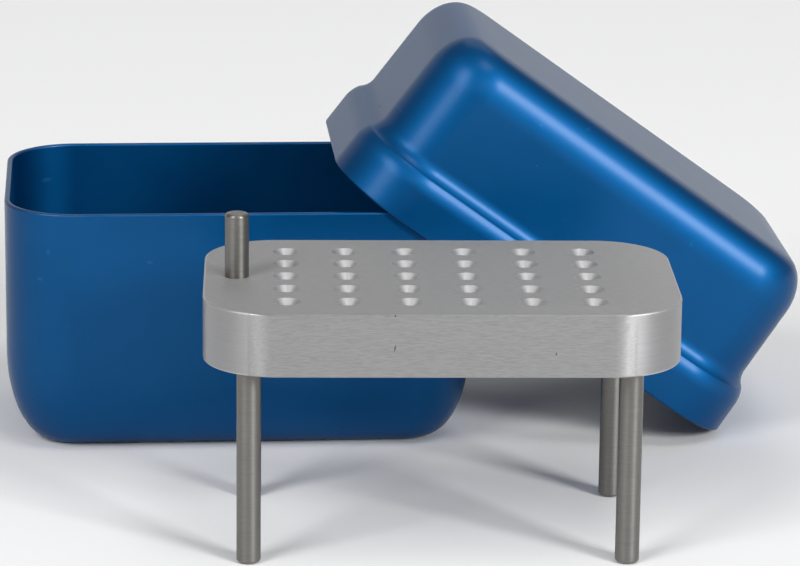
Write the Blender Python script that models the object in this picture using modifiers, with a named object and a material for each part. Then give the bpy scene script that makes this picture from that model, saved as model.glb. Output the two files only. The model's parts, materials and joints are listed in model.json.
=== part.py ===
"""A sterilising box set: a drawn aluminium box, its stepped lid and a drilled block on four legs.

The box stands open on the table, the lid leans over its right end, and the block stands in front.
Units are metres, +Z is up, the front is -Y and the origin is the centre of the box's underside.
"""

import math

import bmesh
import bpy
from mathutils import Matrix

# Sheet and fits
SHEET_THICKNESS = 0.0010
LID_FIT = 0.0003
REST_GAP = 0.0003
PIN_FIT = 0.0003

# Box
BOX_LENGTH = 0.0834
BOX_WIDTH = 0.0541
BOX_HEIGHT = 0.0440
BOX_CORNER_RADIUS = 0.0125
BASE_FILLET_REACH = 0.0075
BASE_FILLET_RISE = 0.0160

# Lid
LID_HEIGHT = 0.0334
SKIRT_HEIGHT = 0.0066
SKIRT_FLARE = 0.0002
SHOULDER_STEP = 0.0024
SHOULDER_RADIUS = 0.0032
STEP_FILLET_RADIUS = 0.0044
UPPER_DRAFT = 0.0004
CROWN_FILLET_REACH = 0.0065
CROWN_FILLET_RISE = 0.0088

# Block plate
BLOCK_PLAY_LENGTH = 0.0015
BLOCK_PLAY_WIDTH = 0.0026
PLATE_THICKNESS = 0.0106
PLATE_CORNER_RADIUS = 0.0120
PLATE_EDGE_BREAK = 0.0003
DRILLING_SHIFT = -0.00045

# Instrument holes
HOLE_COLUMNS = 6
HOLE_ROWS = 5
HOLE_END_MARGIN = 0.0142
HOLE_SIDE_MARGIN = 0.00785
HOLE_BORE = 0.0025
HOLE_MOUTH = 0.0045

# Legs and lifting post
PIN_DIAMETER = 0.0040
LEG_STANDING_HEIGHT = 0.0333
LEG_END_INSET = 0.0080
LEG_SIDE_INSET = 0.0061
LEG_SEAT_DEPTH = 0.0060
POST_RISE = 0.0108
POST_END_INSET = 0.0055
POST_SEAT_DEPTH = 0.0050
FOOT_ROUNDING = 0.0006
POST_ROUNDING = 0.0009

# How the three pieces are set out
LID_REST_INSET = 0.0037
BLOCK_STANDOFF = 0.0186
BLOCK_ACROSS = 0.0314
BLOCK_TURN = math.radians(-2.5)

# Mesh fineness
CORNER_STEPS = 8
FILLET_STEPS = 6
BEND_STEPS = 4
HOLE_SIDES = 16
PIN_SIDES = 24
SMOOTH_ANGLE = math.radians(35)
BREAK_ANGLE = math.radians(60)
MERGE_DISTANCE = 0.00001

# How far a cutter runs past the face that it opens
CUT_OVERRUN = 0.0010

# Finishes: the metal's colour and its roughness
BOX_BLUE = (0.006, 0.075, 0.230, 1.0)
BOX_ROUGHNESS = 0.38
LID_ROUGHNESS = 0.36
BLOCK_GREY = (0.420, 0.420, 0.425, 1.0)
BLOCK_ROUGHNESS = 0.42
PIN_GREY = (0.270, 0.262, 0.245, 1.0)
PIN_ROUGHNESS = 0.30

# Sizes that follow from those above
SKIRT_GROWTH = LID_FIT + SHEET_THICKNESS + SKIRT_FLARE
RIM_LENGTH = BOX_LENGTH + 2 * SKIRT_GROWTH
RIM_WIDTH = BOX_WIDTH + 2 * SKIRT_GROWTH
RIM_CORNER_RADIUS = BOX_CORNER_RADIUS + SKIRT_GROWTH
PLATE_LENGTH = BOX_LENGTH - 2 * (SHEET_THICKNESS + BLOCK_PLAY_LENGTH)
PLATE_WIDTH = BOX_WIDTH - 2 * (SHEET_THICKNESS + BLOCK_PLAY_WIDTH)
SEAT_DIAMETER = PIN_DIAMETER + 2 * PIN_FIT


def clear_scene():
    for obj in list(bpy.data.objects):
        bpy.data.objects.remove(obj, do_unlink=True)


def new_collection(name):
    collection = bpy.data.collections.new(name)
    bpy.context.scene.collection.children.link(collection)
    return collection


def new_material(name, colour, roughness):
    material = bpy.data.materials.new(name)
    material.use_nodes = True
    shader = material.node_tree.nodes["Principled BSDF"]
    shader.inputs["Base Color"].default_value = colour
    shader.inputs["Roughness"].default_value = roughness
    shader.inputs["Metallic"].default_value = 1.0
    return material


def new_object(name, mesh, collection, material=None, parent=None):
    obj = bpy.data.objects.new(name, mesh)
    collection.objects.link(obj)
    if material:
        mesh.materials.append(material)
    obj.parent = parent
    return obj


def new_empty(name, collection, place):
    empty = bpy.data.objects.new(name, None)
    empty.empty_display_size = PIN_DIAMETER
    empty.matrix_world = place
    collection.objects.link(empty)
    return empty


def finish_mesh(bm, name):
    mesh = bpy.data.meshes.new(name)
    bm.to_mesh(mesh)
    bm.free()
    mesh.shade_smooth()
    mesh.set_sharp_from_angle(angle=SMOOTH_ANGLE)
    return mesh


def rounded_face(bm, length, width, radius):
    """A flat rectangle with round corners at z = 0, facing up."""
    bmesh.ops.create_grid(bm, x_segments=1, y_segments=1, size=0.5)
    bmesh.ops.scale(bm, vec=(length, width, 1.0), verts=bm.verts)
    bmesh.ops.bevel(
        bm,
        geom=list(bm.verts),
        offset=radius,
        segments=CORNER_STEPS,
        profile=0.5,
        affect="VERTICES",
    )
    return max(bm.faces, key=lambda face: face.calc_area())


def drawn_sheet(name, length, width, radius, profile):
    """An open sheet drawn up from its rim outline.

    The profile lists how far the sheet has come in from the rim, and how high it has risen.
    """
    bm = bmesh.new()
    cap = rounded_face(bm, length, width, radius)
    for (inset, height), (next_inset, next_height) in zip(profile, profile[1:]):
        cap.normal_update()
        bmesh.ops.inset_region(
            bm,
            faces=[cap],
            thickness=next_inset - inset,
            depth=next_height - height,
            use_boundary=True,
            use_even_offset=True,
        )
    return finish_mesh(bm, name)


def quarter_ellipse(inset, height, reach, rise):
    """Points of a fillet that turns from a wall to a flat, after the first point."""
    angles = [step / FILLET_STEPS * math.pi / 2 for step in range(1, FILLET_STEPS + 1)]
    return [(inset + reach * (1 - math.cos(a)), height + rise * math.sin(a)) for a in angles]


def box_profile():
    wall_height = BOX_HEIGHT - BASE_FILLET_RISE
    fillet = quarter_ellipse(0.0, wall_height, BASE_FILLET_REACH, BASE_FILLET_RISE)
    return [(0.0, 0.0), (0.0, wall_height)] + fillet


def shoulder_bend(inset, height):
    """The step from the skirt to the upper wall: a round shoulder, then a hollow fillet."""
    bend = math.acos(1 - SHOULDER_STEP / (SHOULDER_RADIUS + STEP_FILLET_RADIUS))
    angles = [step / BEND_STEPS * bend for step in range(1, BEND_STEPS + 1)]
    points = []
    for a in angles:
        points.append((inset + SHOULDER_RADIUS * (1 - math.cos(a)), height + SHOULDER_RADIUS * math.sin(a)))
    inset, height = points[-1]
    for a in reversed([0.0] + angles[:-1]):
        inward = STEP_FILLET_RADIUS * (math.cos(a) - math.cos(bend))
        upward = STEP_FILLET_RADIUS * (math.sin(bend) - math.sin(a))
        points.append((inset + inward, height + upward))
    return points


def lid_profile():
    points = [(0.0, 0.0), (SKIRT_FLARE, SKIRT_HEIGHT)]
    points += shoulder_bend(*points[-1])
    wall_top = (points[-1][0] + UPPER_DRAFT, LID_HEIGHT - CROWN_FILLET_RISE)
    points.append(wall_top)
    return points + quarter_ellipse(*wall_top, CROWN_FILLET_REACH, CROWN_FILLET_RISE)


def add_wall(obj):
    """Gives a drawn sheet its thickness, on the inner side."""
    wall = obj.modifiers.new("sheet thickness", "SOLIDIFY")
    wall.thickness = SHEET_THICKNESS
    wall.offset = -1.0
    wall.use_even_offset = True


def make_box(collection, material):
    mesh = drawn_sheet("box", BOX_LENGTH, BOX_WIDTH, BOX_CORNER_RADIUS, box_profile())
    # The sheet is drawn with its rim down, so the box is turned over
    mesh.transform(Matrix.Translation((0, 0, BOX_HEIGHT)) @ Matrix.Rotation(math.pi, 4, "X"))
    add_wall(new_object("box", mesh, collection, material))


def lid_place():
    """The lid leans with its right rim on the table and its left corners over the box's long rims."""
    inner_radius = RIM_CORNER_RADIUS - SHEET_THICKNESS
    inner_half_length = RIM_LENGTH / 2 - SHEET_THICKNESS
    corner_fall = inner_radius - (LID_FIT + SKIRT_FLARE)
    corner_reach = math.sqrt(inner_radius**2 - corner_fall**2)
    # The rim's inner edge passes over the box's wall this far left of the lid's middle
    crossing = inner_half_length - inner_radius + corner_reach
    tilt = math.asin((BOX_HEIGHT + REST_GAP) / (RIM_LENGTH / 2 + crossing))
    # It rests on the straight of the rims, just short of the box's right corners
    resting_x = BOX_LENGTH / 2 - BOX_CORNER_RADIUS - LID_REST_INSET
    middle_x = resting_x + crossing * math.cos(tilt)
    middle_z = RIM_LENGTH / 2 * math.sin(tilt)
    return Matrix.Translation((middle_x, 0, middle_z)) @ Matrix.Rotation(tilt, 4, "Y")


def make_lid(collection, material):
    lift = new_empty("lid_lift", collection, lid_place())
    mesh = drawn_sheet("lid", RIM_LENGTH, RIM_WIDTH, RIM_CORNER_RADIUS, lid_profile())
    add_wall(new_object("lid", mesh, collection, material, lift))


def turned_mesh(name, profile, sides):
    """A solid of revolution about Z. The profile runs down its outer side, axis to axis."""
    mesh = bpy.data.meshes.new(name)
    edges = [(i, i + 1) for i in range(len(profile) - 1)]
    mesh.from_pydata([(radius, 0.0, height) for radius, height in profile], edges, [])
    obj = bpy.data.objects.new(name, mesh)
    bpy.context.scene.collection.objects.link(obj)
    screw = obj.modifiers.new("turn", "SCREW")
    screw.steps = sides
    screw.render_steps = sides
    screw.use_merge_vertices = True
    screw.merge_threshold = MERGE_DISTANCE
    bpy.context.view_layer.update()
    turned = bpy.data.meshes.new_from_object(obj.evaluated_get(bpy.context.evaluated_depsgraph_get()))
    turned.name = name
    bpy.data.objects.remove(obj, do_unlink=True)
    turned.shade_smooth()
    turned.set_sharp_from_angle(angle=SMOOTH_ANGLE)
    return turned


def rounded_end(radius, rounding, tip_height, side):
    """Points round the edge of a pin's end, from the flat tip to the side (side 1 is the top end)."""
    angles = [step / BEND_STEPS * math.pi / 2 for step in range(BEND_STEPS + 1)]
    corner = radius - rounding
    return [
        (corner + rounding * math.sin(a), tip_height - side * rounding * (1 - math.cos(a)))
        for a in angles
    ]


def leg_profile():
    """A leg with its foot at z = 0: square in its seat, round at its foot."""
    radius = PIN_DIAMETER / 2
    top = LEG_STANDING_HEIGHT + LEG_SEAT_DEPTH - PIN_FIT
    foot = rounded_end(radius, FOOT_ROUNDING, 0.0, -1)
    return [(0.0, top), (radius, top)] + foot[::-1] + [(0.0, 0.0)]


def post_profile():
    """The lifting post with the plate's upper face at z = 0: round at its top, square in its seat."""
    radius = PIN_DIAMETER / 2
    bottom = PIN_FIT - POST_SEAT_DEPTH
    head = rounded_end(radius, POST_ROUNDING, POST_RISE, 1)
    return [(0.0, POST_RISE)] + head + [(radius, bottom), (0.0, bottom)]


def hole_profile():
    """An instrument hole below the plate's upper face at z = 0: a 90 degree mouth and a through bore."""
    mouth = HOLE_MOUTH / 2
    bore = HOLE_BORE / 2
    bottom = -PLATE_THICKNESS - CUT_OVERRUN
    flared = mouth + CUT_OVERRUN
    return [(0.0, CUT_OVERRUN), (flared, CUT_OVERRUN), (bore, bore - mouth), (bore, bottom), (0.0, bottom)]


def seat_profile(depth):
    """A blind seat whose floor is at z = 0 and whose mouth is the depth above it."""
    radius = SEAT_DIAMETER / 2
    top = depth + CUT_OVERRUN
    return [(0.0, top), (radius, top), (radius, 0.0), (0.0, 0.0)]


def evenly_spaced(count, span, margin):
    pitch = (span - 2 * margin) / (count - 1)
    return [margin - span / 2 + pitch * i for i in range(count)]


def hole_places():
    columns = evenly_spaced(HOLE_COLUMNS, PLATE_LENGTH, HOLE_END_MARGIN)
    rows = evenly_spaced(HOLE_ROWS, PLATE_WIDTH, HOLE_SIDE_MARGIN)
    return [(x + DRILLING_SHIFT, y) for x in columns for y in rows]


def leg_places():
    x = PLATE_LENGTH / 2 - LEG_END_INSET
    y = PLATE_WIDTH / 2 - LEG_SIDE_INSET
    return {
        "leg_front_left": (DRILLING_SHIFT - x, -y),
        "leg_front_right": (DRILLING_SHIFT + x, -y),
        "leg_back_left": (DRILLING_SHIFT - x, y),
        "leg_back_right": (DRILLING_SHIFT + x, y),
    }


def post_place():
    return (POST_END_INSET - PLATE_LENGTH / 2, 0.0)


def add_cutter(name, mesh, cutters, parent, place):
    cutter = new_object(name, mesh, cutters, parent=parent)
    cutter.matrix_local = place
    cutter.hide_render = True
    cutter.display_type = "WIRE"


def make_plate(parts, cutters, material, parent):
    """The plate with its lower face on the legs' standing height."""
    bm = bmesh.new()
    face = rounded_face(bm, PLATE_LENGTH, PLATE_WIDTH, PLATE_CORNER_RADIUS)
    raised = bmesh.ops.extrude_face_region(bm, geom=[face], use_keep_orig=True)["geom"]
    upper = [item for item in raised if isinstance(item, bmesh.types.BMVert)]
    bmesh.ops.translate(bm, vec=(0, 0, PLATE_THICKNESS), verts=upper)
    bmesh.ops.recalc_face_normals(bm, faces=bm.faces)
    plate = new_object("block_plate", finish_mesh(bm, "block_plate"), parts, material, parent)
    plate.location.z = LEG_STANDING_HEIGHT

    edges = plate.modifiers.new("broken edges", "BEVEL")
    edges.width = PLATE_EDGE_BREAK
    edges.segments = 1
    edges.limit_method = "ANGLE"
    edges.angle_limit = BREAK_ANGLE
    cut = plate.modifiers.new("holes and seats", "BOOLEAN")
    cut.operation = "DIFFERENCE"
    cut.operand_type = "COLLECTION"
    cut.collection = cutters

    upper_face = LEG_STANDING_HEIGHT + PLATE_THICKNESS
    hole = turned_mesh("instrument_hole", hole_profile(), HOLE_SIDES)
    for number, (x, y) in enumerate(hole_places(), start=1):
        add_cutter(f"hole_cutter_{number}", hole, cutters, parent, Matrix.Translation((x, y, upper_face)))
    leg_seat = turned_mesh("leg_seat", seat_profile(LEG_SEAT_DEPTH), PIN_SIDES)
    seat_floor = LEG_STANDING_HEIGHT + LEG_SEAT_DEPTH
    for name, (x, y) in leg_places().items():
        turned_over = Matrix.Translation((x, y, seat_floor)) @ Matrix.Rotation(math.pi, 4, "X")
        add_cutter(name + "_seat_cutter", leg_seat, cutters, parent, turned_over)
    post_seat = turned_mesh("post_seat", seat_profile(POST_SEAT_DEPTH), PIN_SIDES)
    x, y = post_place()
    post_floor = Matrix.Translation((x, y, upper_face - POST_SEAT_DEPTH))
    add_cutter("post_seat_cutter", post_seat, cutters, parent, post_floor)


def make_pins(parts, material, parent):
    leg = turned_mesh("leg", leg_profile(), PIN_SIDES)
    leg.materials.append(material)
    for name, (x, y) in leg_places().items():
        new_object(name, leg, parts, parent=parent).location = (x, y, 0.0)
    post = turned_mesh("lifting_post", post_profile(), PIN_SIDES)
    x, y = post_place()
    upper_face = LEG_STANDING_HEIGHT + PLATE_THICKNESS
    new_object("lifting_post", post, parts, material, parent).location = (x, y, upper_face)


def block_place():
    forward = BOX_WIDTH / 2 + BLOCK_STANDOFF + PLATE_WIDTH / 2
    return Matrix.Translation((BLOCK_ACROSS, -forward, 0)) @ Matrix.Rotation(BLOCK_TURN, 4, "Z")


def main():
    clear_scene()
    parts = new_collection("instrument_box_set")
    cutters = new_collection("cutters")
    make_box(parts, new_material("box blue", BOX_BLUE, BOX_ROUGHNESS))
    make_lid(parts, new_material("lid blue", BOX_BLUE, LID_ROUGHNESS))
    lift = new_empty("block_lift", parts, block_place())
    make_plate(parts, cutters, new_material("brushed aluminium", BLOCK_GREY, BLOCK_ROUGHNESS), lift)
    make_pins(parts, new_material("stainless steel", PIN_GREY, PIN_ROUGHNESS), lift)


main()
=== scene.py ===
"""The looks of a sterilising box set: a drawn blue box, its stepped lid and a drilled block on legs.

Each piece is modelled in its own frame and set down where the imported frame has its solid.
Units are metres, +Z is up and the front is -Y.
"""

import json
import math

import bpy
from mathutils import Matrix, Vector


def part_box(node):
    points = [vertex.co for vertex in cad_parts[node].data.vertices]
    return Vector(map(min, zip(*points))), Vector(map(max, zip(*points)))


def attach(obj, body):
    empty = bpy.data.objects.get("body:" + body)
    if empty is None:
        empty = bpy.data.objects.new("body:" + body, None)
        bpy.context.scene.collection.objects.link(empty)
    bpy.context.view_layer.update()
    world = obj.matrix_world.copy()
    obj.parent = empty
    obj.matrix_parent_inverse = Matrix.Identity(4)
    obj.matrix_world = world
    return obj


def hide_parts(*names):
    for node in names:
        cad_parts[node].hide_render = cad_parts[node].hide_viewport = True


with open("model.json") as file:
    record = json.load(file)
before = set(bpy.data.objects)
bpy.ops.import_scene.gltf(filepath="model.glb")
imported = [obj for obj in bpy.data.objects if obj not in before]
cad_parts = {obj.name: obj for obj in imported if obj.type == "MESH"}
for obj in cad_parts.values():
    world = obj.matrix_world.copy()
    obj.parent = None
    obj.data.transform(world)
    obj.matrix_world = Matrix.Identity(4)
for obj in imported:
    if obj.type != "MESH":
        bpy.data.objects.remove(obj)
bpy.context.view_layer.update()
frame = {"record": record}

# Sheet metal
SHEET_THICKNESS = 0.0010
LID_FIT = 0.0003
RIM_ROUNDING = 0.00042

# Box
BOX_LOW, BOX_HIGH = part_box("box")
BOX_LENGTH, BOX_WIDTH, BOX_HEIGHT = BOX_HIGH - BOX_LOW
BOX_CORNER_RADIUS = 0.0125
BASE_FILLET_REACH = 0.0075
BASE_FILLET_RISE = 0.0160

# Lid
LID_HEIGHT = 0.0334
SKIRT_HEIGHT = 0.00575
SKIRT_FLARE = 0.0002
SHOULDER_RADIUS = 0.0060
SHOULDER_TILT = math.radians(31)
CREASE_RADIUS = 0.0013
CREASE_TILT = math.radians(51)
STEP_FILLET_RADIUS = 0.0039
STEP_FILLET_TILT = math.radians(45)
UPPER_DRAFT = 0.0004
CROWN_FILLET_REACH = 0.0062
CROWN_FILLET_RISE = 0.0086
CROWN_ROLL_RADIUS = 0.0220
CROWN_ROLL_TILT = math.radians(8)
SKIRT_GROWTH = LID_FIT + SHEET_THICKNESS + SKIRT_FLARE

# Block plate
PLATE_LENGTH = 0.0784
PLATE_WIDTH = 0.0469
PLATE_LOW, PLATE_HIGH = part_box("block_plate")
PLATE_THICKNESS = PLATE_HIGH.z - PLATE_LOW.z
PLATE_CORNER_RADIUS = 0.0120
PLATE_EDGE_BREAK = 0.0003
DRILLING_SHIFT = -0.00045

# Brushing of the plate, which runs a little way round its corners
BRUSHED_LEFT_TURN = math.radians(24)
BRUSHED_RIGHT_TURN = math.radians(20)
BRUSHED_DEPTH = 0.0010
GRAIN_MAP = "grain"
SIDE_ROUGHNESS = 0.44
SIDE_GREYS = (0.352, 0.432)
# Painted shade: the faces take darker greys than the sides, to hold down the light that their rougher
# finish gathers
FACE_ROUGHNESS = 0.64
SHADED_FACE_GREYS = (0.284, 0.350)
STROKE_ROUGHNESS = 0.04

# Instrument holes
HOLE_COLUMNS = 6
HOLE_ROWS = 5
HOLE_END_MARGIN = 0.0142
HOLE_SIDE_MARGIN = 0.00785
HOLE_BORE = 0.0025
HOLE_MOUTH = 0.0045

# Legs and lifting post
LEGS = ("leg_front_left", "leg_front_right", "leg_back_left", "leg_back_right")
PIN_DIAMETER = 0.0040
PRESS_FIT = 0.00002
FOOT_ROUNDING = 0.0006
POST_ROUNDING = 0.00055

# Wear, and painted shade over a dent and over nicked spots, as the middle and half sizes of each mark in
# its piece's own frame
BOX_RIM_WEAR = 0.45
LID_RIM_WEAR = 0.0
BOX_SCUFFS = (
    ((-0.0161, 0.0270, 0.0087), (0.0006, 0.0010, 0.0004)),
    ((-0.0339, 0.0261, 0.0069), (0.0004, 0.0010, 0.0005)),
    ((-0.0354, 0.0254, 0.0120), (0.0006, 0.0010, 0.0004)),
    ((-0.0346, -0.0246, 0.0065), (0.0013, 0.0010, 0.0005)),
)
LID_SCUFFS = (
    ((-0.0400, -0.0178, 0.0148), (0.0008, 0.0016, 0.00012)),
    ((-0.0156, -0.0256, 0.0217), (0.0005, 0.0008, 0.0002)),
)
# Painted shade: a dark blue spot on the lid's left end stands in for the shading of a small dent
LID_DENT_SHADES = (((-0.0407, -0.0056, 0.0114), (0.0008, 0.0010, 0.0004)),)
# Painted shade: near-black strokes on the plate's front stand in for the shading inside nicked spots
PLATE_NICK_SHADES = (
    ((-0.0081, -0.0235, 0.0383), (0.00014, 0.0006, 0.0007)),
    ((0.0179, -0.0235, 0.0374), (0.00014, 0.0006, 0.0003)),
    ((-0.0081, -0.0233, 0.0437), (0.00016, 0.0006, 0.0002)),
)
NICK_LEAN = math.radians(8)
# Painted shade colour of the nicked spots
NICK_SHADE_GREY = 0.10
MARK_RANGE = (0.3, 1.2)

# Grains of a noise, as its detail and roughness, and the range that its values mostly keep to
FINE_GRAIN = (2.0, 0.6)
CLOUD_GRAIN = (3.0, 0.55)
PATCH_GRAIN = (2.0, 0.5)
PLAIN_GRAIN = (1.0, 0.5)
NOISE_RANGE = (0.3, 0.7)

# Blue anodising
DYE_DEEP = (0.0006, 0.084, 0.252, 1.0)
DYE_PALE = (0.0012, 0.092, 0.272, 1.0)
DYE_GRAZING = (0.42, 0.39, 0.31, 1.0)
DYE_ROUGHNESS = (0.54, 0.58)
SEAL_IOR = 1.215
SEAL_ROUGHNESS = 0.265
CLOUD_SCALE = 55.0
CLOUD_RANGE = (0.25, 0.75)
ETCH_SCALE = 5200.0
ETCH_STRENGTH = 0.12
ETCH_DEPTH = 0.00003
SPECK_SCALE = 420.0
SPECK_RANGE = (0.76, 0.82)
SPECK_SHARE = 0.3
SCUFF_SHARE = 0.5
SCUFFED_BLUE = (0.020, 0.160, 0.400, 1.0)
# Painted shade colour of the lid's dent
DENT_SHADE_BLUE = (0.0004, 0.020, 0.070, 1.0)
RUBBED_BLUE = (0.070, 0.120, 0.240, 1.0)
RUBBED_HEIGHTS = (0.0001, 0.0004)
PATCH_SCALE = 70.0
PATCH_RANGE = (0.40, 0.62)

# Bare metals, with stretches across, along and up their pieces
GRAIN_TURN = 0.25
METAL_GRAIN_DEPTH = 0.00002
STROKE_STRETCH = (600.0, 8200.0, 8200.0)
STROKE_STRENGTH = 0.20
STROKE_ANISOTROPY = 0.7
SCRATCH_STRETCH = (90.0, 7000.0, 7000.0)
SCRATCH_RANGE = (0.68, 0.76)
SCRATCH_SHARE = 0.5
SCRATCH_SHADE = 0.8
MILLED_STRETCH = (60.0, 60.0, 3600.0)
MILLED_GREYS = ((0.36, 0.36, 0.365, 1.0), (0.39, 0.39, 0.395, 1.0))
MILLED_ROUGHNESS = (0.40, 0.46)
MILLED_ANISOTROPY = 0.6
DRILLED_SCALE = 4200.0
DRILLED_STRENGTH = 0.1
DRILLED_GREYS = ((0.48, 0.48, 0.485, 1.0), (0.54, 0.54, 0.545, 1.0))
DRILLED_ROUGHNESS = (0.49, 0.56)
GROUND_STRETCH = (300.0, 300.0, 5000.0)
GROUND_GREYS = ((0.205, 0.198, 0.184, 1.0), (0.235, 0.228, 0.214, 1.0))
GROUND_ROUGHNESS = (0.42, 0.49)
GROUND_ANISOTROPY = 0.6

# Mesh fineness
CORNER_STEPS = 24
FILLET_STEPS = 24
BEND_STEPS = 10
HOLE_SIDES = 48
PIN_SIDES = 64
RIM_STEPS = 4
EDGE_STEPS = 3
END_STEPS = 6
SMOOTH_ANGLE = math.radians(32)
BREAK_ANGLE = math.radians(60)
ROUND_PROFILE = 0.5
FLAT_NORMAL = 0.999
UPRIGHT_NORMAL = 0.05
CUT_OVERRUN = 0.0010
NORMAL_WEIGHT = 100

# Camera
IMAGE_WIDTH = 800
FOCAL_PIXELS = 4038
SENSOR_WIDTH = 36.0
CAMERA_PLACE = Vector((-0.025355, -0.713338, 0.2220))
CAMERA_YAW = 0.0776332
CAMERA_PITCH = 0.270526
CAMERA_ROLL = 0.011

# Studio
LAMP_AIM = Vector((0.030, -0.030, 0.030))
LAMP_DISTANCE = 3.0
FLOOR_SIZE = 12.0
FLOOR_DROP = 0.0001
FLOOR_WHITE = (0.860, 0.860, 0.860, 1.0)
FLOOR_ROUGHNESS = 0.9
ROOM_GREY = (0.220, 0.220, 0.223, 1.0)


# Selecting and shaping


def start_plane(name, length, width):
    bpy.ops.object.select_all(action="DESELECT")
    bpy.ops.mesh.primitive_plane_add(size=1.0)
    piece = name_piece(name)
    piece.scale = (length, width, 1.0)
    bpy.ops.object.transform_apply(location=False, rotation=False, scale=True)
    return piece


def start_cylinder(name, radius, low, high, sides):
    bpy.ops.object.select_all(action="DESELECT")
    middle = (0.0, 0.0, (low + high) / 2)
    bpy.ops.mesh.primitive_cylinder_add(vertices=sides, radius=radius, depth=high - low, location=middle)
    piece = name_piece(name)
    bpy.ops.object.transform_apply(location=True, rotation=False, scale=False)
    return piece


def name_piece(name):
    piece = bpy.context.object
    piece.name = name
    piece.data.name = name
    return piece


def pick(piece, kind, test):
    """Opens the piece in edit mode with only those faces or edges selected that pass the test."""
    bpy.context.view_layer.objects.active = piece
    bpy.ops.object.mode_set(mode="EDIT")
    bpy.ops.mesh.select_mode(type=kind)
    bpy.ops.mesh.select_all(action="DESELECT")
    bpy.ops.object.mode_set(mode="OBJECT")
    for item in piece.data.polygons if kind == "FACE" else piece.data.edges:
        item.select = test(item)
    bpy.ops.object.mode_set(mode="EDIT")


def done():
    bpy.ops.object.mode_set(mode="OBJECT")


def round_off(reach, steps, kind):
    """Rounds the selected corners or edges of the piece that is open."""
    bpy.ops.mesh.bevel(offset=reach, segments=steps, profile=ROUND_PROFILE, affect=kind)


def apply_modifier(piece, kind, **settings):
    modifier = piece.modifiers.new(kind.lower(), kind)
    for setting, value in settings.items():
        setattr(modifier, setting, value)
    bpy.context.view_layer.objects.active = piece
    bpy.ops.object.modifier_apply(modifier=modifier.name)


def set_down(piece, place):
    """Moves a piece from its own frame to its place, and keeps the place in its mesh."""
    bpy.ops.object.select_all(action="DESELECT")
    piece.select_set(True)
    bpy.context.view_layer.objects.active = piece
    piece.matrix_world = place
    bpy.ops.object.transform_apply(location=True, rotation=True, scale=True)


def shade(piece):
    """Smooth over its bends, crisp on its edges, and level on its flats."""
    bpy.ops.object.select_all(action="DESELECT")
    piece.select_set(True)
    bpy.context.view_layer.objects.active = piece
    bpy.ops.object.shade_smooth_by_angle(angle=SMOOTH_ANGLE)
    apply_modifier(piece, "WEIGHTED_NORMAL", mode="FACE_AREA", weight=NORMAL_WEIGHT, keep_sharp=True)


def hand_over(piece, body, node, slot, *materials):
    for material in materials:
        piece.data.materials.append(material)
    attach(piece, body)
    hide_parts(node)


# Drawn sheet


def drawn_sheet(name, length, width, corner_radius, profile):
    """An open sheet drawn up from its rim outline at z = 0, then given its thickness and a rounded rim.

    The profile lists how far the sheet has come in from the rim, and how high it has risen.
    """
    sheet = start_plane(name, length, width)
    pick(sheet, "FACE", lambda face: True)
    round_off(corner_radius, CORNER_STEPS, "VERTICES")
    done()
    pick(sheet, "FACE", lambda face: True)
    for (inset, height), (next_inset, next_height) in zip(profile, profile[1:]):
        bpy.ops.mesh.inset(
            thickness=next_inset - inset,
            depth=next_height - height,
            use_boundary=True,
            use_even_offset=True,
        )
    done()
    apply_modifier(sheet, "SOLIDIFY", thickness=SHEET_THICKNESS, offset=-1.0, use_even_offset=True)
    apply_modifier(
        sheet,
        "BEVEL",
        width=RIM_ROUNDING,
        segments=RIM_STEPS,
        limit_method="ANGLE",
        angle_limit=BREAK_ANGLE,
    )
    return sheet


def elliptic_fillet(inset, height, reach, rise, last_angle=math.pi / 2):
    """Points of a fillet that turns from a wall towards a flat, after the first point."""
    angles = [step / FILLET_STEPS * last_angle for step in range(1, FILLET_STEPS + 1)]
    return [(inset + reach * (1 - math.cos(a)), height + rise * math.sin(a)) for a in angles]


def box_profile():
    wall_height = BOX_HEIGHT - BASE_FILLET_RISE
    fillet = elliptic_fillet(0.0, wall_height, BASE_FILLET_REACH, BASE_FILLET_RISE)
    return [(0.0, 0.0), (0.0, wall_height)] + fillet


def shoulder_bend(inset, height):
    """The step from the skirt to the upper wall: a round shoulder, a crease and a hollow fillet.

    Each stretch is an arc, given by its radius and by how far the sheet leans in at its two ends.
    """
    stretches = (
        (SHOULDER_RADIUS, 0.0, SHOULDER_TILT),
        (CREASE_RADIUS, SHOULDER_TILT, CREASE_TILT),
        (CREASE_RADIUS, CREASE_TILT, STEP_FILLET_TILT),
        (STEP_FILLET_RADIUS, STEP_FILLET_TILT, 0.0),
    )
    points = []
    for radius, first_tilt, last_tilt in stretches:
        turn = (last_tilt - first_tilt) / BEND_STEPS
        for step in range(BEND_STEPS):
            tilt = first_tilt + turn * (step + 0.5)
            inset += radius * abs(turn) * math.sin(tilt)
            height += radius * abs(turn) * math.cos(tilt)
            points.append((inset, height))
    return points


def crown_bend(inset):
    """The crown from the upper wall to the flat top: a fillet, and a shallow roll that eases its end."""
    last_angle = math.atan2(CROWN_FILLET_RISE, CROWN_FILLET_REACH * math.tan(CROWN_ROLL_TILT))
    fillet_rise = CROWN_FILLET_RISE * math.sin(last_angle)
    roll_rise = CROWN_ROLL_RADIUS * (1 - math.cos(CROWN_ROLL_TILT))
    wall_top = (inset, LID_HEIGHT - roll_rise - fillet_rise)
    points = [wall_top]
    points += elliptic_fillet(*wall_top, CROWN_FILLET_REACH, CROWN_FILLET_RISE, last_angle)
    roll_start = points[-1][0]
    for step in range(1, BEND_STEPS + 1):
        tilt = CROWN_ROLL_TILT * (1 - step / BEND_STEPS)
        run = CROWN_ROLL_RADIUS * (math.sin(CROWN_ROLL_TILT) - math.sin(tilt))
        points.append((roll_start + run, LID_HEIGHT - CROWN_ROLL_RADIUS * (1 - math.cos(tilt))))
    return points


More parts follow.
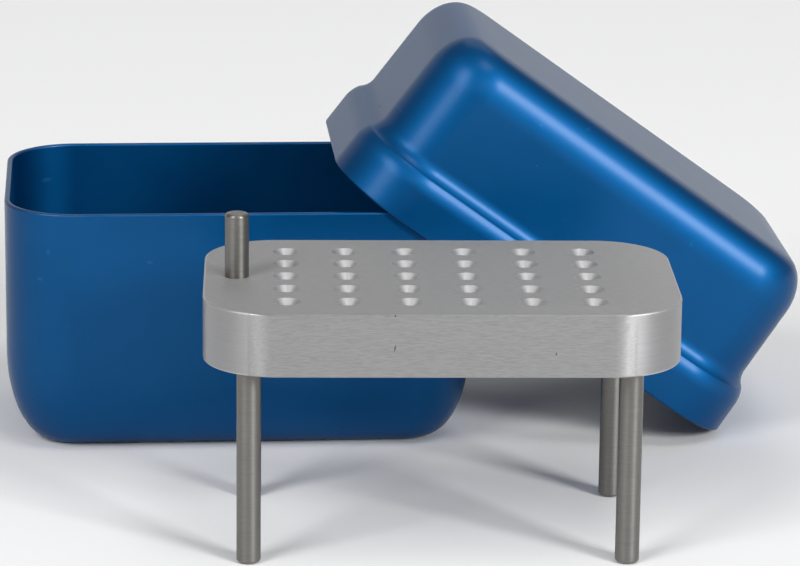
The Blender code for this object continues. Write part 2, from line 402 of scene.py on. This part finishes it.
def lid_profile():
    points = [(0.0, 0.0), (SKIRT_FLARE, SKIRT_HEIGHT)]
    points += shoulder_bend(*points[-1])
    return points + crown_bend(points[-1][0] + UPPER_DRAFT)


def box_place():
    """The sheet is drawn with its rim down, so the box is turned over."""
    return Matrix.Translation((0, 0, BOX_HEIGHT)) @ Matrix.Rotation(math.pi, 4, "X")


def lid_place():
    """The lid's rim lies square to the axis of its top, one lid height below it."""
    top = next(mount for mount in frame["record"]["mounts"] if mount["name"] == "lid_top")
    axis = Vector(top["axis"])
    rim_middle = Vector(top["pos_m"]) - axis * LID_HEIGHT
    tilt = math.atan2(axis.x, axis.z)
    return Matrix.Translation(rim_middle) @ Matrix.Rotation(tilt, 4, "Y")


def make_box():
    box = drawn_sheet("drawn_box", BOX_LENGTH, BOX_WIDTH, BOX_CORNER_RADIUS, box_profile())
    set_down(box, box_place())
    shade(box)
    finish = anodised_blue("anodised_box", box_place(), BOX_RIM_WEAR, BOX_SCUFFS, ())
    hand_over(box, "box", "box", "anodised_blue", finish)


def make_lid():
    length = BOX_LENGTH + 2 * SKIRT_GROWTH
    width = BOX_WIDTH + 2 * SKIRT_GROWTH
    lid = drawn_sheet("drawn_lid", length, width, BOX_CORNER_RADIUS + SKIRT_GROWTH, lid_profile())
    set_down(lid, lid_place())
    shade(lid)
    finish = anodised_blue("anodised_lid", lid_place(), LID_RIM_WEAR, LID_SCUFFS, LID_DENT_SHADES)
    hand_over(lid, "lid", "lid", "anodised_blue", finish)


# Block


def node_middle(node):
    low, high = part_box(node)
    return (low + high) / 2


def block_place():
    """The middle of the plate on the table, turned as the row of front legs runs."""
    row = node_middle("leg_front_right") - node_middle("leg_front_left")
    turned = Matrix.Rotation(math.atan2(row.y, row.x), 4, "Z")
    legs_middle = sum((node_middle(leg) for leg in LEGS), Vector()) / len(LEGS)
    plate_middle = legs_middle - turned @ Vector((DRILLING_SHIFT, 0, 0))
    return Matrix.Translation((plate_middle.x, plate_middle.y, 0)) @ turned


def evenly_spaced(count, span, margin):
    pitch = (span - 2 * margin) / (count - 1)
    return [margin - span / 2 + pitch * i for i in range(count)]


def hole_places():
    columns = evenly_spaced(HOLE_COLUMNS, PLATE_LENGTH, HOLE_END_MARGIN)
    rows = evenly_spaced(HOLE_ROWS, PLATE_WIDTH, HOLE_SIDE_MARGIN)
    return [Vector((x + DRILLING_SHIFT, y, 0)) for x in columns for y in rows]


def hole_cutter():
    """A drill with a 90 degree countersink, which runs past both faces of the plate."""
    bore = HOLE_BORE / 2
    mouth = HOLE_MOUTH / 2
    neck = PLATE_HIGH.z - (mouth - bore)
    cutter = start_cylinder("hole_cutter", bore, PLATE_LOW.z - CUT_OVERRUN, neck, HOLE_SIDES)
    flared = mouth + CUT_OVERRUN
    pick(cutter, "FACE", lambda face: face.normal.z > FLAT_NORMAL)
    bpy.ops.mesh.extrude_region_move(TRANSFORM_OT_translate={"value": (0, 0, flared - bore)})
    bpy.ops.transform.resize(value=(flared / bore, flared / bore, 1.0))
    done()
    return cutter


def seat_cutter(name, low, high):
    return start_cylinder(name, PIN_DIAMETER / 2 + PRESS_FIT, low, high, PIN_SIDES)


def copy_at(piece, place):
    copy = piece.copy()
    copy.data = piece.data.copy()
    bpy.context.collection.objects.link(copy)
    set_down(copy, Matrix.Translation(place))
    return copy


def all_cutters():
    """Every hole and seat of the plate as one cutter, in the block's own frame."""
    to_block = block_place().inverted()
    drill = hole_cutter()
    cutters = [copy_at(drill, place) for place in hole_places()]
    leg_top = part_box(LEGS[0])[1].z
    leg_seat = seat_cutter("leg_seat", PLATE_LOW.z - CUT_OVERRUN, leg_top + PRESS_FIT)
    for leg in LEGS:
        place = to_block @ node_middle(leg)
        cutters.append(copy_at(leg_seat, (place.x, place.y, 0)))
    post_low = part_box("lifting_post")[0].z
    post_seat = seat_cutter("post_seat", post_low - PRESS_FIT, PLATE_HIGH.z + CUT_OVERRUN)
    place = to_block @ node_middle("lifting_post")
    cutters.append(copy_at(post_seat, (place.x, place.y, 0)))
    for pattern in (drill, leg_seat, post_seat):
        bpy.data.objects.remove(pattern, do_unlink=True)
    bpy.ops.object.select_all(action="DESELECT")
    for cutter in cutters:
        cutter.select_set(True)
    bpy.context.view_layer.objects.active = cutters[0]
    bpy.ops.object.join()
    return cutters[0]


def lay_grain(plate):
    """A UV map whose first axis runs along the brushing."""
    grain = plate.data.uv_layers.new(name=GRAIN_MAP)
    for loop in plate.data.loops:
        point = plate.data.vertices[loop.vertex_index].co
        grain.data[loop.index].uv = (point.x, point.y + point.z)


def is_brushed_side(face):
    """True along the front and back, and a little way round the corners."""
    on_long_side = abs(face.center.y) > PLATE_WIDTH / 2 - BRUSHED_DEPTH
    turn = math.asin(max(-1.0, min(1.0, face.normal.x)))
    return on_long_side and -BRUSHED_LEFT_TURN < turn < BRUSHED_RIGHT_TURN


def is_drilled(face):
    """True in the holes and seats, whose walls lie well inside the plate's outline."""
    inside_length = abs(face.center.x) < PLATE_LENGTH / 2 - BRUSHED_DEPTH
    inside_width = abs(face.center.y) < PLATE_WIDTH / 2 - BRUSHED_DEPTH
    corner = PLATE_CORNER_RADIUS + BRUSHED_DEPTH
    past_x = abs(face.center.x) - (PLATE_LENGTH / 2 - corner)
    past_y = abs(face.center.y) - (PLATE_WIDTH / 2 - corner)
    on_corner = math.hypot(past_x, past_y) > PLATE_CORNER_RADIUS - BRUSHED_DEPTH
    in_corner = past_x > 0 and past_y > 0 and on_corner
    return inside_length and inside_width and not in_corner


def plate_finish(face):
    """0 brushed faces, 1 brushed sides, 2 milled and 3 drilled. Broken edges are as even as the holes."""
    if abs(face.normal.z) > FLAT_NORMAL:
        return 0
    if is_brushed_side(face):
        return 1
    return 2 if abs(face.normal.z) < UPRIGHT_NORMAL and not is_drilled(face) else 3


def make_plate():
    plate = start_plane("drilled_plate", PLATE_LENGTH, PLATE_WIDTH)
    pick(plate, "FACE", lambda face: True)
    round_off(PLATE_CORNER_RADIUS, CORNER_STEPS, "VERTICES")
    bpy.ops.mesh.select_all(action="SELECT")
    bpy.ops.mesh.extrude_region_move(TRANSFORM_OT_translate={"value": (0, 0, PLATE_THICKNESS)})
    bpy.ops.mesh.select_all(action="SELECT")
    bpy.ops.mesh.normals_make_consistent(inside=False)
    done()
    heights = [vertex.co.z for vertex in plate.data.vertices]
    pick(plate, "EDGE", lambda edge: heights[edge.vertices[0]] == heights[edge.vertices[1]])
    round_off(PLATE_EDGE_BREAK, EDGE_STEPS, "EDGES")
    done()
    set_down(plate, Matrix.Translation((0, 0, PLATE_LOW.z)))
    cutters = all_cutters()
    apply_modifier(plate, "BOOLEAN", operation="DIFFERENCE", object=cutters)
    bpy.data.objects.remove(cutters, do_unlink=True)
    plate.data.materials.clear()
    lay_grain(plate)
    place = block_place()
    finishes = (
        # Painted shade: the faces' copy of the brushed finish is darker than the sides' copy
        brushed_aluminium("brushed_faces_shaded", place, FACE_ROUGHNESS, SHADED_FACE_GREYS),
        brushed_aluminium("brushed_sides", place, SIDE_ROUGHNESS, SIDE_GREYS),
        milled_aluminium(place),
        drilled_aluminium(place),
    )
    for face in plate.data.polygons:
        face.material_index = plate_finish(face)
    set_down(plate, place)
    shade(plate)
    hand_over(plate, "block", "block_plate", "brushed_aluminium", *finishes)


def make_pin(node, rounding, rounded_top, material):
    """A pin in its seat, with its free end rounded: a post's top or a leg's foot."""
    low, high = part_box(node)
    pin = start_cylinder("pressed_" + node, PIN_DIAMETER / 2, low.z, high.z, PIN_SIDES)
    heights = [vertex.co.z for vertex in pin.data.vertices]
    end = max(heights) if rounded_top else min(heights)
    pick(pin, "EDGE", lambda edge: all(heights[v] == end for v in edge.vertices))
    round_off(rounding, END_STEPS, "EDGES")
    done()
    middle = node_middle(node)
    set_down(pin, Matrix.Translation((middle.x, middle.y, 0)))
    shade(pin)
    hand_over(pin, "block", node, "stainless_steel", material)


# Finishes


def new_finish(name, **values):
    """A material whose shader takes these constant values, with its node tree."""
    material = bpy.data.materials.new(name)
    material.use_nodes = True
    shader = material.node_tree.nodes["Principled BSDF"]
    for label, value in values.items():
        shader.inputs[label.replace("_", " ")].default_value = value
    return material, material.node_tree, shader


def add_node(tree, kind, settings=None, inputs=None):
    node = tree.nodes.new("ShaderNode" + kind)
    for setting, value in (settings or {}).items():
        setattr(node, setting, value)
    for label, value in (inputs or {}).items():
        if isinstance(value, bpy.types.NodeSocket):
            tree.links.new(value, node.inputs[label])
        else:
            node.inputs[label].default_value = value
    return node


def own_coordinates(tree, place, stretch=(1.0, 1.0, 1.0)):
    """Object coordinates turned back into the piece's own frame, with a pattern's stretch."""
    to_own = place.inverted()
    position = add_node(tree, "TexCoord").outputs["Object"]
    own = add_node(
        tree,
        "Mapping",
        inputs={
            "Vector": position,
            "Location": to_own.translation,
            "Rotation": to_own.to_euler(),
        },
    )
    return add_node(tree, "Mapping", inputs={"Vector": own.outputs[0], "Scale": stretch}).outputs[0]


def noise(tree, vector, scale, detail, roughness):
    node = add_node(
        tree,
        "TexNoise",
        inputs={"Vector": vector, "Scale": scale, "Detail": detail, "Roughness": roughness},
    )
    return node.outputs[0]


def streaks(tree, place, stretch, detail, roughness):
    """Noise drawn out along the piece's own axes."""
    return noise(tree, own_coordinates(tree, place, stretch), 1.0, detail, roughness)


def spread(tree, value, low, high, first, last):
    """Runs smoothly from first to last while the value goes from low to high."""
    node = add_node(
        tree,
        "MapRange",
        {"interpolation_type": "SMOOTHSTEP"},
        {"Value": value, "From Min": low, "From Max": high, "To Min": first, "To Max": last},
    )
    return node.outputs[0]


def maths(tree, operation, first, second):
    return add_node(tree, "Math", {"operation": operation}, {0: first, 1: second}).outputs[0]


def mixed_colour(tree, share, first, second):
    node = add_node(tree, "Mix", {"data_type": "RGBA"}, {0: share, 6: first, 7: second})
    return node.outputs[2]


def grey(value):
    return (value, value, value, 1.0)


def bumped(tree, height, strength, distance):
    node = add_node(tree, "Bump", inputs={"Height": height, "Strength": strength, "Distance": distance})
    return node.outputs[0]


def lay_tangent(tree, shader, **settings):
    """Sets the direction in which the grain runs."""
    tangent = add_node(tree, "Tangent", settings)
    tree.links.new(tangent.outputs[0], shader.inputs["Tangent"])


def connect(tree, shader, **sockets):
    for label, socket in sockets.items():
        tree.links.new(socket, shader.inputs[label.replace("_", " ")])


def marks(tree, own, spots, lean=0.0):
    """Close to 1 on each marked spot of the piece, and 0 elsewhere."""
    shares = []
    for middle, half_size in spots:
        local = add_node(
            tree,
            "Mapping",
            {"vector_type": "TEXTURE"},
            {"Vector": own, "Location": middle, "Rotation": (0.0, lean, 0.0), "Scale": half_size},
        ).outputs[0]
        reach = add_node(tree, "VectorMath", {"operation": "LENGTH"}, {0: local}).outputs["Value"]
        shares.append(spread(tree, reach, *MARK_RANGE, 1.0, 0.0))
    share = shares[0]
    for other in shares[1:]:
        share = maths(tree, "MAXIMUM", share, other)
    return share


def anodised_blue(name, place, rim_wear, scuffs, dent_shades):
    """Etched and dyed sheet: fine grain, a slight cloudiness in the dye, small marks, painted shade over a
    dent where one is given, and a rubbed rim.
    """
    material, tree, shader = new_finish(
        name,
        Metallic=1.0,
        Specular_Tint=DYE_GRAZING,
        Coat_Weight=1.0,
        Coat_IOR=SEAL_IOR,
        Coat_Roughness=SEAL_ROUGHNESS,
    )
    own = own_coordinates(tree, place)
    clouds = noise(tree, own, CLOUD_SCALE, *CLOUD_GRAIN)
    grain = noise(tree, own, ETCH_SCALE, *FINE_GRAIN)
    colour = mixed_colour(tree, spread(tree, clouds, *NOISE_RANGE, 0.0, 1.0), DYE_DEEP, DYE_PALE)
    speckle = noise(tree, own, SPECK_SCALE, *PLAIN_GRAIN)
    specks = spread(tree, speckle, *SPECK_RANGE, 0.0, SPECK_SHARE)
    scuffed = maths(tree, "MULTIPLY", marks(tree, own, scuffs), SCUFF_SHARE)
    colour = mixed_colour(tree, maths(tree, "MAXIMUM", specks, scuffed), colour, SCUFFED_BLUE)
    # Painted shade: a dent's darkening, painted into the dye colour
    if dent_shades:
        colour = mixed_colour(tree, marks(tree, own, dent_shades), colour, DENT_SHADE_BLUE)
    above_rim = add_node(tree, "SeparateXYZ", inputs={0: own}).outputs["Z"]
    rubbed = spread(tree, above_rim, *RUBBED_HEIGHTS, 1.0, 0.0)
    patches = spread(tree, noise(tree, own, PATCH_SCALE, *PATCH_GRAIN), *PATCH_RANGE, 0.0, rim_wear)
    colour = mixed_colour(tree, maths(tree, "MULTIPLY", rubbed, patches), colour, RUBBED_BLUE)
    connect(
        tree,
        shader,
        Base_Color=colour,
        Roughness=spread(tree, clouds, *CLOUD_RANGE, *DYE_ROUGHNESS),
        Normal=bumped(tree, grain, ETCH_STRENGTH, ETCH_DEPTH),
    )
    return material


def brushed_aluminium(name, place, roughness, greys):
    """The plate's faces or long sides, brushed along its length in short strokes, with painted shade on a
    few nicked spots.
    """
    material, tree, shader = new_finish(
        name,
        Metallic=1.0,
        Anisotropic=STROKE_ANISOTROPY,
        Anisotropic_Rotation=GRAIN_TURN,
    )
    strokes = streaks(tree, place, STROKE_STRETCH, *FINE_GRAIN)
    darkest, palest = greys
    colour = mixed_colour(tree, spread(tree, strokes, *NOISE_RANGE, 0.0, 1.0), grey(darkest), grey(palest))
    scratches = streaks(tree, place, SCRATCH_STRETCH, *PLAIN_GRAIN)
    scratched = spread(tree, scratches, *SCRATCH_RANGE, 0.0, SCRATCH_SHARE)
    colour = mixed_colour(tree, scratched, colour, grey(darkest * SCRATCH_SHADE))
    # Painted shade: nicked spots are darkened in the colour, not cut into the plate
    nick_shade = marks(tree, own_coordinates(tree, place), PLATE_NICK_SHADES, NICK_LEAN)
    colour = mixed_colour(tree, nick_shade, colour, grey(NICK_SHADE_GREY))
    smoothest = roughness - STROKE_ROUGHNESS
    dullest = roughness + STROKE_ROUGHNESS
    lay_tangent(tree, shader, direction_type="UV_MAP", uv_map=GRAIN_MAP)
    connect(
        tree,
        shader,
        Base_Color=colour,
        Roughness=spread(tree, strokes, *NOISE_RANGE, smoothest, dullest),
        Normal=bumped(tree, strokes, STROKE_STRENGTH, METAL_GRAIN_DEPTH),
    )
    return material


def turned_metal(name, place, stretch, greys, roughness, anisotropy):
    """Metal whose grain runs round an upright axis, as a cutter or a grinding wheel leaves it."""
    material, tree, shader = new_finish(
        name,
        Metallic=1.0,
        Anisotropic=anisotropy,
        Anisotropic_Rotation=GRAIN_TURN,
    )
    rings = streaks(tree, place, stretch, *FINE_GRAIN)
    lay_tangent(tree, shader, direction_type="RADIAL", axis="Z")
    connect(
        tree,
        shader,
        Base_Color=mixed_colour(tree, spread(tree, rings, *NOISE_RANGE, 0.0, 1.0), *greys),
        Roughness=spread(tree, rings, *NOISE_RANGE, *roughness),
    )
    return material


def milled_aluminium(place):
    """The plate's ends and corners, as the cutter left them."""
    return turned_metal(
        "milled_aluminium",
        place,
        MILLED_STRETCH,
        MILLED_GREYS,
        MILLED_ROUGHNESS,
        MILLED_ANISOTROPY,
    )


def drilled_aluminium(place):
    """The plate's holes and broken edges: bare metal with an even, dull grain."""
    material, tree, shader = new_finish("drilled_aluminium", Metallic=1.0)
    grain = noise(tree, own_coordinates(tree, place), DRILLED_SCALE, *FINE_GRAIN)
    connect(
        tree,
        shader,
        Base_Color=mixed_colour(tree, spread(tree, grain, *NOISE_RANGE, 0.0, 1.0), *DRILLED_GREYS),
        Roughness=spread(tree, grain, *NOISE_RANGE, *DRILLED_ROUGHNESS),
        Normal=bumped(tree, grain, DRILLED_STRENGTH, METAL_GRAIN_DEPTH),
    )
    return material


def ground_steel():
    """Pins ground round and round to a satin finish."""
    return turned_metal(
        "ground_steel",
        Matrix.Identity(4),
        GROUND_STRETCH,
        GROUND_GREYS,
        GROUND_ROUGHNESS,
        GROUND_ANISOTROPY,
    )


def pale_floor():
    return new_finish(
        "pale_floor",
        Base_Color=FLOOR_WHITE,
        Roughness=FLOOR_ROUGHNESS,
        Specular_IOR_Level=0.0,
    )[0]


# Studio


def softbox(name, azimuth, elevation, width, height, radiance):
    """A lamp that faces the object. Azimuth 0 is the front and 90 the right, in degrees."""
    turn = math.radians(azimuth)
    rise = math.radians(elevation)
    away = Vector((math.sin(turn) * math.cos(rise), -math.cos(turn) * math.cos(rise), math.sin(rise)))
    lamp = bpy.data.lights.new(name, "AREA")
    lamp.shape = "RECTANGLE"
    lamp.size = width
    lamp.size_y = height
    lamp.energy = radiance * math.pi * width * height
    stand = bpy.data.objects.new(name, lamp)
    bpy.context.scene.collection.objects.link(stand)
    stand.location = LAMP_AIM + away * LAMP_DISTANCE
    stand.rotation_euler = (-away).to_track_quat("-Z", "Y").to_euler()


def light_studio():
    softbox("key_softbox", azimuth=41, elevation=24, width=0.75, height=0.9, radiance=31.0)
    softbox("front_softbox", azimuth=5, elevation=30, width=1.4, height=1.0, radiance=1.0)
    softbox("fill_softbox", azimuth=-46, elevation=37, width=1.1, height=1.9, radiance=7.6)
    softbox("back_softbox", azimuth=180, elevation=18, width=7.0, height=2.2, radiance=0.50)
    softbox("high_back_softbox", azimuth=165, elevation=50, width=1.8, height=1.2, radiance=0.9)
    softbox("top_softbox", azimuth=34, elevation=70, width=0.9, height=0.9, radiance=5.5)
    world = bpy.data.worlds.new("pale_room")
    world.use_nodes = True
    world.node_tree.nodes["Background"].inputs["Color"].default_value = ROOM_GREY
    bpy.context.scene.world = world


def lay_floor():
    floor = start_plane("floor", FLOOR_SIZE, FLOOR_SIZE)
    set_down(floor, Matrix.Translation((0, 0, -FLOOR_DROP)))
    floor.data.materials.append(pale_floor())


def set_camera():
    forward = Vector(
        (
            math.sin(CAMERA_YAW) * math.cos(CAMERA_PITCH),
            math.cos(CAMERA_YAW) * math.cos(CAMERA_PITCH),
            -math.sin(CAMERA_PITCH),
        )
    )
    level = Vector((math.cos(CAMERA_YAW), -math.sin(CAMERA_YAW), 0.0))
    upward = level.cross(forward)
    right = level * math.cos(CAMERA_ROLL) + upward * math.sin(CAMERA_ROLL)
    up = upward * math.cos(CAMERA_ROLL) - level * math.sin(CAMERA_ROLL)
    lens = bpy.data.cameras.new("photo_camera")
    lens.sensor_width = SENSOR_WIDTH
    lens.lens = FOCAL_PIXELS / IMAGE_WIDTH * SENSOR_WIDTH
    camera = bpy.data.objects.new("photo_camera", lens)
    bpy.context.scene.collection.objects.link(camera)
    turned = Matrix((right, up, -forward)).transposed().to_4x4()
    camera.matrix_world = Matrix.Translation(CAMERA_PLACE) @ turned
    bpy.context.scene.camera = camera


make_box()
make_lid()
make_plate()
steel = ground_steel()
for leg_node in LEGS:
    make_pin(leg_node, FOOT_ROUNDING, False, steel)
make_pin("lifting_post", POST_ROUNDING, True, steel)
lay_floor()
light_studio()
set_camera()
bpy.context.scene.view_settings.view_transform = "Standard"
